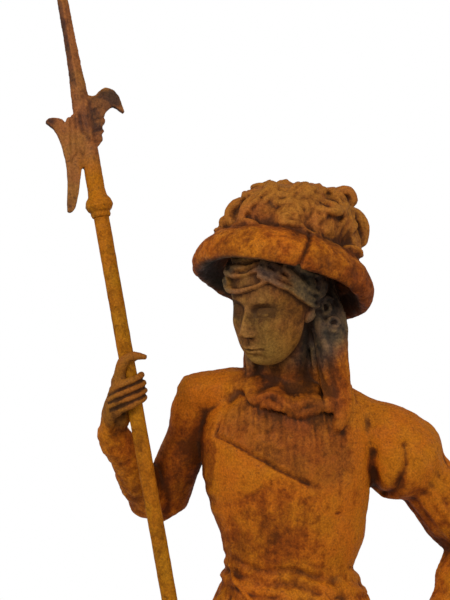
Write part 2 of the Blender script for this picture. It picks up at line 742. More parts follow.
# %% Fit the face
def face_share(places):
    spot = to_head(places)
    far = np.linalg.norm(spot, axis=1)
    ways = spot / far[:, None]
    base = head_reach(ways)
    rough = base[:, None] * ways
    x, z = rough[:, 0], rough[:, 2]
    m = np.abs(x)
    rough_forward = (
        0.075 * bump(x, z, 0, -0.155, 0.05, 0.06)
        + 0.045 * bump(x, z, 0, -0.06, 0.035, 0.09)
        + 0.028 * bump(x, z, 0, -0.3, 0.09, 0.035)
        + 0.035 * bump(x, z, 0, -0.43, 0.08, 0.05)
        - 0.022 * bump(m, z, 0.13, 0.0, 0.065, 0.045)
    )
    off = np.abs(far - base - rough_forward * np.maximum(ways[:, 1], 0))
    return step_up(ways[:, 1], -0.10, 0.12) * step_up(-off, -0.034, -0.02), rough


def split_finer(mesh, chosen):
    shape = bmesh.new()
    shape.from_mesh(mesh)
    shape.verts.ensure_lookup_table()
    near = [e for e in shape.edges if chosen[e.verts[0].index] and chosen[e.verts[1].index]]
    bmesh.ops.subdivide_edges(shape, edges=near, cuts=1, use_grid_fill=True)
    shape.to_mesh(mesh)
    shape.free()


split_finer(figure_mesh, face_share(points(figure_mesh))[0] > 0.05)
places = points(figure_mesh)
weight, rough = face_share(places)
fine = rough.copy()
jaw_side = bump(np.abs(rough[:, 0]), rough[:, 2], 0.24, -0.18, 0.12, 0.20)
jaw_side = jaw_side * step_up(-rough[:, 1], -0.20, -0.02)
fine[:, 0] += 0.030 * np.sign(rough[:, 0]) * jaw_side
fine[:, 1] += face_forward(rough[:, 0], rough[:, 2]) * step_up(rough[:, 1], 0.0, 0.2)
put_points(figure_mesh, places + (in_head(fine) - places) * weight[:, None])
print("points of the face:", int((weight > 0.5).sum()))

# %% [markdown]
# ## Following the cloth
# The clothes were carved into the pattern before it was cast, as waves and grooves that follow the cloth.
# `along` gives every point its place on a limb: how far along, at which angle, and whether it is on it at
# all. `line_gap` is the distance to a drawn line and `inside` tells what an outline encloses, both as seen
# from the front. `hill` is a smooth rise that fades out over a given width.

# %% Tools for cloth
def hill(gap, width):
    return np.exp(-((gap / width) ** 2))


def along(places, path, reach):
    steps = 90
    line = smooth_path([at(*p) for p in path], steps)
    low, high = line.min(0) - reach * share, line.max(0) + reach * share
    near = np.flatnonzero(((places > low) & (places < high)).all(1))
    far = np.full(len(places), 9.0)
    t = np.zeros(len(places))
    angle = np.zeros(len(places))
    for part in np.array_split(near, max(1, len(near) // 20000)):
        gap = np.linalg.norm(places[part, None] - line[None], axis=2)
        best = gap.argmin(1)
        way = np.gradient(line, axis=0)[best]
        way /= np.linalg.norm(way, axis=1)[:, None]
        side = np.cross(way, (0, 1, 0))
        side /= np.linalg.norm(side, axis=1)[:, None]
        off = places[part] - line[best]
        far[part] = gap.min(1) / share
        t[part] = best / (steps - 1)
        angle[part] = np.arctan2((off * np.cross(side, way)).sum(1), (off * side).sum(1))
    return t, angle, step_up(-far, -reach, -0.8 * reach)


def line_gap(x, z, path):
    gap = np.full(len(x), 99.0)
    for (ax, az), (bx, bz) in zip(path, path[1:]):
        long_squared = (bx - ax) ** 2 + (bz - az) ** 2
        u = np.clip(((x - ax) * (bx - ax) + (z - az) * (bz - az)) / long_squared, 0, 1)
        gap = np.minimum(gap, np.hypot(x - ax - u * (bx - ax), z - az - u * (bz - az)))
    return gap


def inside(x, z, outline):
    hit = np.zeros(len(x), bool)
    for (ax, az), (bx, bz) in zip(outline, outline[1:] + outline[:1]):
        crosses = (az > z) != (bz > z)
        hit ^= crosses & (x < (bx - ax) * (z - az) / (bz - az + 1e-9) + ax)
    return hit


places = points(figure_mesh)
x, y, z = in_shares(places).T
facing = -normals(figure_mesh)[:, 1]
front = step_up(facing, 0.15, 0.5) * step_up(-y, 2.0, 3.2)
print("points that face the front:", int((front > 0.5).sum()))

# %% [markdown]
# ## Pleated shirt
# A shirt in fine pleats shows where the jerkin is cut away at the chest. Its panel is pushed out a few
# millimetres, fading to the guard's left. Two waves of different widths, spread like a fan from the collar,
# make the pleats look gathered by hand. Every depth from here on is added to `depth`, in metres.

# %% Pleated shirt
neck_edge = [
    (-5.9, 77.0), (-7.6, 73.6), (-8.1, 71.6), (-6.4, 70.9), (-4.4, 69.9), (-1.5, 68.3), (2.8, 66.2),
    (5.6, 66.4), (7.3, 68.3), (6.7, 71.6), (6.1, 73.4), (5.2, 77.0),
]
panel_rise = 0.0064
wide_pleat = 0.66
fine_pleat = 0.45
on_tress = along(places, tress, 2.6)[2]
panel = inside(x, z, neck_edge) * front * (y > -10.5) * step_up(line_gap(x, z, neck_edge[:7]), 0.1, 0.5)
panel = panel * step_up(-x, -6.6, -2.5) * step_up(-z, -76.3, -75.6)
fan = (x + 0.6) / (1 + 0.03 * (77 - z))
wander = uneven(places, 0.06, 2)
pleats = np.cos(2 * pi * fan / wide_pleat + 1.4 * wander)
pleats += 0.6 * np.cos(2 * pi * fan / fine_pleat + 1.3 + 0.5 * z)
depth = panel * (panel_rise + (0.0007 + 0.0004 * wander) * pleats * step_up(z, 66.5, 72))
print("highest point of the shirt, mm:", (depth.max() * 1000).round(1))

# %% [markdown]
# ## Edges and folds of the jerkin
# The jerkin's cut edge and its seams are narrow grooves. Each row of the list is a depth, a width and a line,
# and a depth below zero is a ridge. One slanting fold crosses the chest under the cut edge, short pinches
# pull at the guard's right side, and there is one small nick on the left.

# %% Jerkin
body = front * (z > 57.5) * (z < 77) * (np.abs(x) < 9) * (1 - on_tress)
for cut, width, path in (
    (0.0028, 0.14, [(-8.2, 71.6), *neck_edge[3:7]]),
    (0.0028, 0.15, [(6.06, 74.1), (6.6, 71.7), (6.9, 70.1), (7.6, 68.4)]),
    (0.0018, 0.15, [(-6.0, 75.6), (-7.2, 73.2), (-8.1, 71.7)]),
    (0.0012, 0.13, [(-6.5, 70.8), (-7.1, 68.9)]),
    (-0.0010, 0.14, [(-4.0, 71.5), (-0.3, 70.3)]),
):
    depth -= cut * hill(line_gap(x, z, path), width) * body
chest_fold = z - (64.0 + (x + 6.9) * 0.52)
depth += 0.0028 * step_up(chest_fold, -0.2, 0.5) * hill(chest_fold, 2.6) * body * step_up(-x, 0, 3)
depth -= 0.0020 * hill(chest_fold, 0.6) * body * step_up(-x, 1.5, 4)
pinches = np.sin(2 * pi * (z - 0.3 * x) / 2.1 + uneven(places, 0.08, 6))
depth += 0.0013 * pinches * hill(z - 64.8, 2.2) * step_up(-x, 6.2, 8.0) * (x > -9.6)
nick = np.exp(-((((x - 5.36) / 0.34) ** 2 + ((z - 63.3) / 0.2) ** 2) ** 2))
depth -= 0.0045 * nick * body
print("deepest cut in the jerkin, mm:", (depth.min() * 1000).round(1))

# %% [markdown]
# ## Sleeves
# The sleeve of the raised arm is plain, with creases that crowd at the elbow. The other is puffed at the
# shoulder and gathered twice below it, and two soft folds run down the front of the puff. Creases are waves
# along the arm, and gathers are waves round it.

# %% Sleeves
raised_arm = [
    (-10.5, 1.0, 75.2), (-11.4, 2.1, 71.2), (-12.6, 3.7, 67), (-14.2, 5, 63.7),
    (-15.5, 4.1, 63.5), (-16.7, 1.8, 66), (-18, -0.7, 69), (-19.4, -2.5, 71.7),
]
t, angle, near = along(places, raised_arm, 3.6)
creases = np.sin(34 * t + 1.6 * np.sin(angle + 2 * t) + uneven(places, 0.09, 3))
rough_cloth = uneven(places, 0.022, 7) + 0.7 * uneven(places, 0.011, 8)
depth += near * creases * (0.0006 + 0.0018 * hill(t - 0.55, 0.16))
depth += near * rough_cloth * 0.0007 * step_up(t, 0.62, 0.72)

hip_arm = [
    (8.4, 0.7, 73.6), (10.2, 0.8, 71.9), (12.3, 1.2, 69.7), (14.1, 1.6, 67.7),
    (16, 2, 66.1), (18.2, 2.8, 63.6), (20.6, 3.5, 61.1), (22.2, 3.8, 58.7),
    (21.4, 2.6, 56.2), (19.8, 1.6, 54.2), (18.5, 0.9, 52.4), (17.6, 0.3, 50.9),
]
t, angle, near = along(places, hip_arm, 6.0)
gather = hill(t - 0.40, 0.09) + 0.8 * hill(t - 0.80, 0.07)
drift = 1.1 * uneven(places, 0.10, 9)
sleeve_folds = np.cos(13 * angle + 2.5 * np.sin(3 * t + angle) + drift)
sleeve_folds += 0.7 * np.cos(8 * angle + 5 * t - drift)
depth += near * (t > 0.03) * sleeve_folds * (0.0002 + 0.0009 * gather * (1 - 0.5 * (t > 0.6)))
depth += near * rough_cloth * 0.0006 * step_up(t, 0.46, 0.54)

puff_front = step_up(facing, 0.0, 0.4) * (x > 8)
puff_folds = (
    [(12.9, 70.6), (13.0, 68.4), (12.1, 65.6), (11.0, 64.4)],
    [(9.6, 69.7), (9.5, 68.15), (9.8, 65.7), (10.7, 64.6)],
)
for fold in puff_folds:
    groove = line_gap(x, z, fold)
    depth += puff_front * (0.0034 * hill(groove, 1.5) - 0.0088 * hill(groove, 0.55))
print("deepest cut with the sleeves, mm:", (depth.min() * 1000).round(1))

# %% [markdown]
# ## Gaps between the fingers
# The gripping fingers touch, and the fused skin fills the gaps between them. They are cut again as grooves
# that wind round the shaft at the heights between the fingers.

# %% Gaps between the fingers
def between_fingers(places):
    in_grip = (places - np.array(hand_grip)) @ np.array(shaft_turn) / share
    wound = (np.degrees(np.arctan2(in_grip[:, 1], in_grip[:, 0])) - grip_starts) % 360 / 200
    finger_height = in_grip[:, 2] + 1.35 * (1 - wound.clip(0, 1))
    reached = (np.hypot(in_grip[:, 0], in_grip[:, 1]) < 2.9) * (wound < 1.12)
    reached = reached * (np.abs(finger_height) < 2.2)
    return reached * sum(hill(finger_height - gap, 0.16) for gap in (0.61, -0.27, -1.08))


finger_gaps = between_fingers(places)
depth -= 0.0030 * finger_gaps
print("points in the gaps:", int((finger_gaps > 0.5).sum()))

# %% [markdown]
# ## Frill of the collar
# A narrow frill stands round the front of the neck. Its hem is a line that wanders up and down, and the
# cloth above the hem is pushed out in ruffles. A fine groove under the hem sets it off from the shirt.

# %% Frill
neck_turn = np.arctan2(y + 0.4, x - 0.3)
hem = 76.3 + 1.3 * np.sin(neck_turn) - 0.3 * np.cos(neck_turn)
hem += 0.42 * np.sin(6 * neck_turn + 0.8) + 0.22 * np.sin(9 * neck_turn + 1)
above_hem = z - hem
round_neck = step_up(-np.hypot(x - 0.3, y + 0.4), -8.0, -6.8) * step_up(-y, -1.5, 0.5)
round_neck = round_neck * step_up(x, -6.4, -4.4) * (1 - on_tress) * (z > 72) * (z < 80)
frill = step_up(above_hem, -0.12, 0.22) * step_up(-above_hem, -2.2, -0.7)
ruffles = 1 + 0.45 * np.sin(9 * neck_turn + 1) * hill(above_hem, 1.3)
depth += round_neck * frill * 0.0062 * ruffles
depth -= round_neck * 0.0022 * hill(above_hem + 0.16, 0.16)
print("points of the frill:", int((round_neck * frill > 0.5).sum()))

# %% [markdown]
# ## Sash and skirt
# The sash is wound round the waist, so its folds are waves in height, tilted and bent a little as they go
# round. The skirt's folds are waves round the body: tight gathers under the sash that fade into broad soft
# folds further down.

# %% Sash and skirt
waist_turn = np.arctan2(y, x - 0.2)
from_middle = np.hypot(x, y)
tilted = z + 0.75 * np.cos(waist_turn)
on_sash = step_up(tilted, 53.6, 54.2) * step_up(-tilted, -58.0, -57.3) * (from_middle < 9.4)
bent = 1.2 * np.sin(2 * waist_turn + 1) + 0.9 * np.sin(5 * waist_turn) + 1.2 * uneven(places, 0.12, 4)
wraps = np.cos(2 * pi * (tilted + 0.10 * x) / 1.7 + bent)
depth += on_sash * (0.0018 + 0.0010 * uneven(places, 0.1, 5)) * wraps

on_skirt = step_up(z, 35.5, 37) * step_up(-z, -54.2, -53) * (from_middle > 6.5) * (from_middle < 13.5)
gathers = np.cos(41 * waist_turn + 1.2 * np.sin(5 * waist_turn)) * hill(z - 54, 5.5)
soft_folds = np.cos(25 * waist_turn + 0.16 * z + 1.5 * np.sin(3 * waist_turn))
depth += on_skirt * (0.0022 * gathers + 0.0020 * soft_folds)
print("points of sash and skirt:", int((on_sash > 0.5).sum()), int((on_skirt > 0.5).sum()))

# %% [markdown]
# ## Slit in the brim
# The rolled brim is cut once at the front, and one lip of the slit stands a little proud of the other. The
# roll itself is slightly lumpy, as cloth that was stuffed would be.

# %% Brim
slit_turn = radians(-80)
hat_turn, hat_far, hat_high = in_hat(places)
from_slit = (hat_turn - slit_turn - 0.05 * hat_high / 3) * hat_far
on_brim = (hat_far > 7.4) * (hat_far < 10.9) * step_up(hat_high, -2.4, -1.6) * step_up(-hat_high, -3.7, -3.2)
depth -= on_brim * 0.0058 * hill(from_slit, 0.27)
depth += on_brim * 0.0022 * step_up(from_slit, 0.15, 0.4) * hill(from_slit, 2.2)
depth += on_brim * (0.0022 * uneven(places, 0.16, 10) + 0.0010 * uneven(places, 0.045, 17))
print("points of the brim:", int((on_brim > 0.5).sum()))

# %% [markdown]
# ## Carve and blend
# All the depths are now cut at once, along the normals. Three lines where parts of the core meet too sharply
# are then softened: below the left side of the collar, at the front of the left armpit and beside the neck.

# %% Carve and blend
carve(figure_mesh, depth)
blend_rounds = 16
for gap in (
    line_gap(x, z, neck_edge[6:]) + 9 * (y > -2),
    line_gap(x, z, [(9.0, 75), (9.7, 70), (9.5, 66)]),
    line_gap(x, z, [(-6.3, 77), (-7.0, 75.4)]),
):
    soften(figure_mesh, step_up(-gap, -1.1, -0.3) * (1 - on_tress), blend_rounds)
print("deepest cut and highest fold, mm:", (depth.min() * 1000).round(1), (depth.max() * 1000).round(1))

# %% [markdown]
# ## Casting skin
# Sand casting leaves a surface that is never quite even: slow swells, small lumps, and pits where sand came
# loose. Slow waves of about half a millimetre and a few rare pits are enough, and the finest grain is left
# to the material. The mesh is then thinned, most where it is flat, to keep the piece light.

# %% Casting skin and thinning
def cast_skin(mesh, swell):
    places = points(mesh)
    lumps = uneven(places, 0.045, 11) + 0.6 * uneven(places, 0.017, 12) + 0.35 * uneven(places, 0.008, 13)
    pits = step_up(uneven(places, 0.02, 14) * uneven(places, 0.013, 15), 0.85, 1.3)
    carve(mesh, swell * lumps - 2.2 * swell * pits)


def thinned(name, mesh, most):
    mesh.calc_loop_triangles()
    maker = as_object(name, mesh)
    if len(mesh.loop_triangles) > most:
        fewer = maker.modifiers.new("fewer", "DECIMATE")
        fewer.ratio = most / len(mesh.loop_triangles)
    return baked(maker)


soft_face = 1 - 0.7 * face_share(points(figure_mesh))[0]
cast_skin(figure_mesh, 0.0005 * soft_face)
figure_mesh = thinned("guard", figure_mesh, 190000)
figure_mesh.calc_loop_triangles()
print("triangles of the figure:", len(figure_mesh.loop_triangles))

# %% [markdown]
# ## Plinth
# The plinth is a plain slab with rounded edges. A copy of the CAD node gets a finer skin and the same uneven
# casting surface, but its underside stays flat, so that it still stands level.

# %% Plinth
plinth_mesh = reskinned("plinth", merged_copy("plinth"), 0.0040, 2)
above_ground = step_up(points(plinth_mesh)[:, 2], 0.002, 0.01)
cast_skin(plinth_mesh, 0.0006 * above_ground)
plinth_mesh = thinned("plinth", plinth_mesh, 90000)
print("points of the plinth:", len(plinth_mesh.vertices))

# %% [markdown]
# ## Shaft
# The shaft is a round bar. It is drawn again with more sides than the CAD has, and in many short steps, so
# that its surface can be a little uneven as a rusted bar is. It reaches into the head's socket as far as the
# CAD's shaft does.

# %% Shaft
halberd_length = 2.250
head_length = 0.625
seat_depth = 0.070
shaft_length = halberd_length - head_length + seat_depth
shaft_rows = 340
shaft_shape = bmesh.new()
bmesh.ops.create_circle(shaft_shape, cap_ends=True, segments=32, radius=shaft_radius)
shaft_face = shaft_shape.faces[:]
for row in range(shaft_rows):
    grown = bmesh.ops.extrude_face_region(shaft_shape, geom=shaft_face)["geom"]
    if row:
        bmesh.ops.delete(shaft_shape, geom=shaft_face, context="FACES_ONLY")
    shaft_face = [g for g in grown if isinstance(g, bmesh.types.BMFace)]
    lifted = [g for g in grown if isinstance(g, bmesh.types.BMVert)]
    bmesh.ops.translate(shaft_shape, verts=lifted, vec=(0, 0, shaft_length / shaft_rows))
bmesh.ops.recalc_face_normals(shaft_shape, faces=shaft_shape.faces)
standing = Matrix.Translation(shaft_foot) @ shaft_turn.to_4x4()
bmesh.ops.transform(shaft_shape, matrix=standing, verts=shaft_shape.verts)
shaft_mesh = bpy.data.meshes.new("halberd_shaft")
shaft_shape.to_mesh(shaft_mesh)
shaft_shape.free()
cast_skin(shaft_mesh, np.full(len(shaft_mesh.vertices), 0.00022))
print("length of the shaft, metres:", round(shaft_length, 3))

# %% [markdown]
# ## Head of the halberd
# Grooves part the blade, the beak and the spike of the head, and rounded ridges run along them. The fine
# skin is measured in millimetres across the blade and up from the socket's foot. Each row of
# a list is a depth or a height, a width and a line.

# %% Head of the halberd
head_mesh = reskinned("halberd_head", merged_copy("halberd_head"), 0.0014, 3)
blade_turn = np.array(shaft_turn @ Matrix.Rotation(radians(15), 3, "Z"))
head_foot = np.array(shaft_foot + shaft_way * (halberd_length - head_length))


def on_head(mesh):
    across, _, up = ((points(mesh) - head_foot) @ blade_turn).T * 1000
    return across, up


across, up = on_head(head_mesh)
head_depth = np.zeros(len(across))
grooves = [
    (1.8, 2.0, [(-25, 190), (-33, 130)]),
    (1.8, 2.0, [(-15, 191), (-23, 128)]),
    (2.2, 2.4, [(-9, 190), (-8, 156), (4, 140), (22, 137)]),
    (2.0, 2.4, [(20, 195), (36, 200)]),
    (2.0, 2.4, [(18, 178), (36, 180)]),
    (2.0, 2.4, [(13, 157), (30, 159)]),
    (2.2, 2.4, [(-37, 107), (-20, 125), (-14, 117)]),
]
ridges = [
    (2.0, 5.0, [(6, 205), (2, 180), (6, 150)]),
    (1.6, 3.5, [(-10, 236), (-2, 263), (-2, 480), (0, 620)]),
    (1.2, 3.0, [(-29, 186), (-38, 130), (-46, 45)]),
    (1.2, 4.0, [(10, 212), (35, 236), (58, 238), (72, 205)]),
]
for cut, width, path in grooves:
    head_depth -= cut * hill(line_gap(across, up, path), width)
for high, width, path in ridges:
    head_depth += high * hill(line_gap(across, up, path), width)
carve(head_mesh, head_depth / 1000)
cast_skin(head_mesh, np.full(len(head_mesh.vertices), 0.0003))
head_mesh = thinned("halberd_head", head_mesh, 90000)
print("points of the halberd's head:", len(head_mesh.vertices))

# %% [markdown]
# ## Where rain and dirt reach
# Rust is brightest where rain reaches and dries, and dark in hollows and under the brim. Two values are kept
# on every point for the material to read. `hollow` compares a point with its smoothed neighbours. `open_sky`
# sums the rays to the sky that get away without hitting the same piece, and those that meet the surface
# squarely count more.

# %% Weather values
def store(mesh, name, values):
    layer = mesh.attributes.new(name, "FLOAT", "POINT")
    layer.data.foreach_set("value", values.astype(np.float32))


def hollows(mesh, rounds):
    places = points(mesh)
    eased = np.stack([eased_value(mesh, places[:, i], rounds) for i in range(3)], 1)
    return ((eased - places) * normals(mesh)).sum(1)


sky_rays = 16
ray_turn = 2 * pi * (np.arange(sky_rays) * 0.618 % 1)
ray_rise = np.arcsin(0.12 + 0.88 * (np.arange(sky_rays) + 0.5) / sky_rays)
rays = [Vector((cos(a) * cos(e), sin(a) * cos(e), sin(e))) for a, e in zip(ray_turn, ray_rise)]
ray_length = 0.7
off_the_skin = 0.002


def open_sky(mesh):
    shape = bmesh.new()
    shape.from_mesh(mesh)
    bmesh.ops.triangulate(shape, faces=shape.faces)
    tree = BVHTree.FromBMesh(shape)
    shape.free()
    places, ways = points(mesh), normals(mesh)
    sky_share = np.zeros(len(places))
    for i in range(len(places)):
        n = Vector(ways[i])
        start = Vector(places[i]) + n * off_the_skin
        free = 0.0
        for ray in rays:
            lean = n.dot(ray)
            if lean > 0.02 and not tree.ray_cast(start, ray, ray_length)[0]:
                free += 0.4 + 0.6 * lean
        sky_share[i] = free / sky_rays
    return sky_share


for mesh in (figure_mesh, head_mesh, plinth_mesh, shaft_mesh):
    fine_hollow = hollows(mesh, 4) / 0.0011
    broad_hollow = hollows(mesh, 30) / 0.003
    store(mesh, "hollow", eased_value(mesh, np.clip(0.5 * fine_hollow + 0.5 * broad_hollow, -1, 1), 1))
    store(mesh, "open_sky", eased_value(mesh, open_sky(mesh), 4))
print("rays to the sky from each point:", sky_rays)

# %% [markdown]
# ## Which part is which
# The bare face, the hair, the shirt, the hand and the plumes rusted each in their own way, because they are
# sheltered or were touched. Each gets a value between 0 and 1 on every point. They are found from the forms
# that made them: near the eggs of the head, near a lock's path, inside the jerkin's edge, above the brim.

# %% Region values
places = points(figure_mesh)
x, y, z = in_shares(places).T
spot = to_head(places)
hat_turn, hat_far, hat_high = in_hat(places)
skin_share = face_share(places)[0]
hair_share = step_up(-hat_high, -1.6, -0.2) * (np.linalg.norm(spot, axis=1) < 0.66)
hair_share = hair_share * (1 - skin_share) * step_up(z, 78.5, 80)
for thick, _, path in shoulder_locks:
    hair_share = np.maximum(hair_share, along(places, path, thick + 0.75)[2] * step_up(z, 80.5, 85.5))
neck_share = step_up(z, 76.4, 77.4) * (1 - step_up(z, 82, 84)) * (np.hypot(x, y + 0.5) < 6.2)
shirt_share = inside(x, z, neck_edge) * (y < -3) * (y > -9.5)
shirt_share = np.maximum(np.maximum(shirt_share, 0.8 * neck_share), skin_share)
from_hand = np.linalg.norm(places - np.array(at(-17.8, -5, 77.2)), axis=1) / share
hand_share = step_up(-from_hand, -5.4, -4.2)
plume_share = step_up(hat_high, 2.6, 3.6) * step_up(-hat_far, -9.4, -8.6)
cheek_share = step_up(spot[:, 0], 0.10, 0.30)
for name, values, rounds in (
    ("skin", skin_share * (1 - 0.6 * cheek_share), 12),
    ("hair", hair_share, 10),
    ("shirt", shirt_share * 0.85, 14),
    ("hand", hand_share, 6),
    ("plumes", plume_share, 6),
):
    store(figure_mesh, name, eased_value(figure_mesh, values, rounds))
    print(name, "points:", int((values > 0.5).sum()))

# %% [markdown]
# ## Lighter and darker places on the figure
# Some places are lighter and some are darker than their shape explains. Each row is an
# amount, a size in shares and a place. The brim, the gaps between the fingers, the folds of the puff and the
# sockets of the eyes get darker too, as sheltered places are.

# %% Washes
washes = [
    (0.45, 6.0, (12.5, -3.5, 70.5)), (0.35, 3.6, (-9.5, -1.5, 75.5)), (0.55, 5.0, (7.8, -3.0, 60.0)),
    (0.28, 3.2, (-5.5, -5.5, 68.5)), (-0.10, 4.5, (-2.0, -6.0, 62.0)), (-0.42, 3.8, (-11.4, 0.5, 70.0)),
    (-0.40, 2.6, (12.6, -3.0, 65.8)), (-0.18, 3.0, (-2.6, -6.4, 87.4)), (-0.15, 4.0, (19.5, 1.0, 60.5)),
    (0.15, 5.0, (-6.0, -10.5, 86.5)), (-0.25, 3.6, (0.0, -6.0, 75.6)), (-0.20, 2.6, (5.4, -5.0, 76.4)),
    (-0.15, 6.0, (0.0, -8.0, 54.5)), (0.20, 3.6, (17.5, 0.5, 64.6)),
]
wash = np.zeros(len(places))
for amount, size, (a, b, c) in washes:
    wash += amount * np.exp(-(((x - a) ** 2 + (y - b) ** 2 + (z - c) ** 2) / size**2))
wash -= 0.28 * step_up(hat_far, 7.6, 8.4) * step_up(hat_high, -2.5, -1.5) * step_up(-hat_high, -4.2, -3.4)
wash -= 0.45 * between_fingers(places)
for fold in puff_folds:
    wash -= 0.20 * hill(line_gap(x, z, fold), 0.7) * (y < 0)
from_chin = np.linalg.norm(spot - (0, 0.26, -0.42), axis=1)
from_eye = np.linalg.norm(np.abs(spot * (1, 0, 1)) - (0.128, 0, 0.0), axis=1)
wash += 0.38 * hill(from_chin, 0.15)
wash -= 0.60 * skin_share * hill(from_eye, 0.090)
store(figure_mesh, "wash", wash)
print("wash runs from", wash.min().round(2), "to", wash.max().round(2))

# %% [markdown]
# ## Tarnish on the halberd
# The head of the halberd is browner than the shaft, darkest on beak and blade tip. Its socket took the
# shaft's orange instead, and the value `socket` marks that. Shaft and plinth have no washes of their own.

# %% Tarnish
across, up = on_head(head_mesh)
head_wash = np.zeros(len(across))
for amount, size, (a, b) in (
    (-0.5, 26, (62, 220)), (-0.45, 16, (-66, 190)), (-0.45, 22, (6, 172)),
    (0.35, 30, (-26, 150)), (0.35, 45, (3, 60)),
):
    head_wash += amount * np.exp(-(((across - a) ** 2 + (up - b) ** 2) / size**2))
head_wash += (0.15 - 0.40 * step_up(-across, 1.5, 5.0)) * step_up(up, 225, 260)
socket_share = step_up(-up, -130, -70) * step_up(-np.abs(across), -30, -20)
store(head_mesh, "wash", head_wash)
store(head_mesh, "socket", socket_share)
for mesh in (shaft_mesh, plinth_mesh):
    store(mesh, "wash", np.zeros(len(mesh.vertices)))
print("points of the socket:", int((socket_share > 0.5).sum()))

# %% [markdown]
# ## Rust as node groups
# Rust is never one colour. Broad patches run from orange to red-brown, on top lies a mottling the size of a
# fingertip, then a grain like coarse sand, and water leaves streaks that run down. Each of these is worked
# out from the place on the object, so nothing slides when the camera moves. `new_group` makes an empty node
# group with named inputs and outputs, and the small helpers below it keep the recipes short.

# %% Node helpers
def new_group(name, takes, gives):
    group = bpy.data.node_groups.new(name, "ShaderNodeTree")
    kinds = {"value": "NodeSocketFloat", "colour": "NodeSocketColor", "vector": "NodeSocketVector"}
    for label, kind in takes.items():
        group.interface.new_socket(label, in_out="INPUT", socket_type=kinds[kind])
    for label, kind in gives.items():
        group.interface.new_socket(label, in_out="OUTPUT", socket_type=kinds[kind])
    return group, group.nodes.new("NodeGroupInput").outputs, group.nodes.new("NodeGroupOutput").inputs


def join(tree, source, target):
    if isinstance(source, bpy.types.NodeSocket):
        tree.links.new(source, target)
    else:
        target.default_value = source


def mixed(tree, share, first, second, way="MIX"):
    node = tree.nodes.new("ShaderNodeMix")
    node.data_type = "RGBA"
    node.blend_type = way
    join(tree, share, node.inputs[0])
    join(tree, first, node.inputs[6])
    join(tree, second, node.inputs[7])
    return node.outputs[2]


def worked(tree, way, first, second=0.0):
    node = tree.nodes.new("ShaderNodeMath")
    node.operation = way
    join(tree, first, node.inputs[0])
    join(tree, second, node.inputs[1])
    return node.outputs[0]


def spread(tree, value, low, high, to_low=0.0, to_high=1.0):
    node = tree.nodes.new("ShaderNodeMapRange")
    node.interpolation_type = "SMOOTHSTEP"
    labels = ("Value", "From Min", "From Max", "To Min", "To Max")
    for label, number in zip(labels, (value, low, high, to_low, to_high)):
        join(tree, number, node.inputs[label])
    return node.outputs["Result"]


def grain(tree, vector, scale, detail=3.0, rough=0.55, stretch=None):
    if stretch:
        bend = tree.nodes.new("ShaderNodeMapping")
        join(tree, vector, bend.inputs["Vector"])
        bend.inputs["Scale"].default_value = stretch
        vector = bend.outputs["Vector"]
    node = tree.nodes.new("ShaderNodeTexNoise")
    join(tree, vector, node.inputs["Vector"])
    node.inputs["Scale"].default_value = scale
    node.inputs["Detail"].default_value = detail
    node.inputs["Roughness"].default_value = rough
    return node.outputs["Fac"]


print("node helpers ready")

# %% [markdown]
# ## How far a place has weathered
# The rust group first works out one value, the weather: high where the rust is bright, low where it is dark.
# It starts from the open sky and from broad patches. Mottling and streaks then swing it up and down, hollows
# lower it, and the washes are added as they are.

# %% The rust group: weather
def added(tree, total, value, amount):
    return worked(tree, "ADD", total, worked(tree, "MULTIPLY", value, amount))


def about_zero(tree, value):
    return worked(tree, "SUBTRACT", value, 0.5)


rust, given, wanted = new_group(
    "rusted_iron",
    {
        "Place": "vector",
        "Bright": "colour",
        "Middle": "colour",
        "Dark": "colour",
        "Hollow": "value",
        "Open sky": "value",
        "Wash": "value",
    },
    {"Colour": "colour", "Roughness": "value", "Height": "value"},
)
place = given["Place"]
patches = grain(rust, place, 7.0, 4.0, 0.6)
mottle = grain(rust, place, 55.0, 6.0, 0.72)
sand = grain(rust, place, 260.0, 4.0, 0.7)
streaks = grain(rust, place, 60.0, 3.0, 0.6, stretch=(1, 1, 0.09))
weather = added(rust, worked(rust, "MULTIPLY", given["Open sky"], 0.62), patches, 0.80)
weather = worked(rust, "SUBTRACT", weather, 0.03)
weather = added(rust, weather, about_zero(rust, mottle), 1.30)
weather = added(rust, weather, about_zero(rust, streaks), 0.65)
weather = worked(rust, "SUBTRACT", weather, worked(rust, "MULTIPLY", given["Hollow"], 0.28))
weather = worked(rust, "ADD", weather, given["Wash"])
print("nodes of the weather value:", len(rust.nodes))

# %% [markdown]
# ## From weather to colour
# The weather value chooses between the three colours of the surface. A slow change of hue keeps broad areas
# from looking painted, specks of sand lighten and darken it, small pits show the dark colour, and grime
# fills the deepest hollows.

# %% The rust group: colour
colour = mixed(rust, spread(rust, weather, 0.22, 0.52), given["Dark"], given["Middle"])
colour = mixed(rust, spread(rust, weather, 0.46, 0.82), colour, given["Bright"])
hue = spread(rust, grain(rust, place, 13.0, 4.0, 0.6), 0.36, 0.62)
tint = mixed(rust, hue, (1.04, 0.90, 0.95, 1), (1.03, 1.08, 0.90, 1))
colour = mixed(rust, 1.0, colour, tint, "MULTIPLY")
speck = spread(rust, sand, 0.30, 0.70, 0.72, 1.28)
speck_colour = rust.nodes.new("ShaderNodeCombineColor")
for channel in ("Red", "Green", "Blue"):
    join(rust, speck, speck_colour.inputs[channel])
colour = mixed(rust, 1.0, colour, speck_colour.outputs[0], "MULTIPLY")
pitting = spread(rust, grain(rust, place, 150.0, 3.0, 0.65), 0.56, 0.70)
colour = mixed(rust, worked(rust, "MULTIPLY", pitting, 0.55), colour, given["Dark"])
grime = worked(rust, "MULTIPLY", spread(rust, given["Hollow"], 0.22, 1.0), 0.68)
colour = mixed(rust, grime, colour, (0.030, 0.011, 0.004, 1))
join(rust, colour, wanted["Colour"])
print("nodes with the colour:", len(rust.nodes))

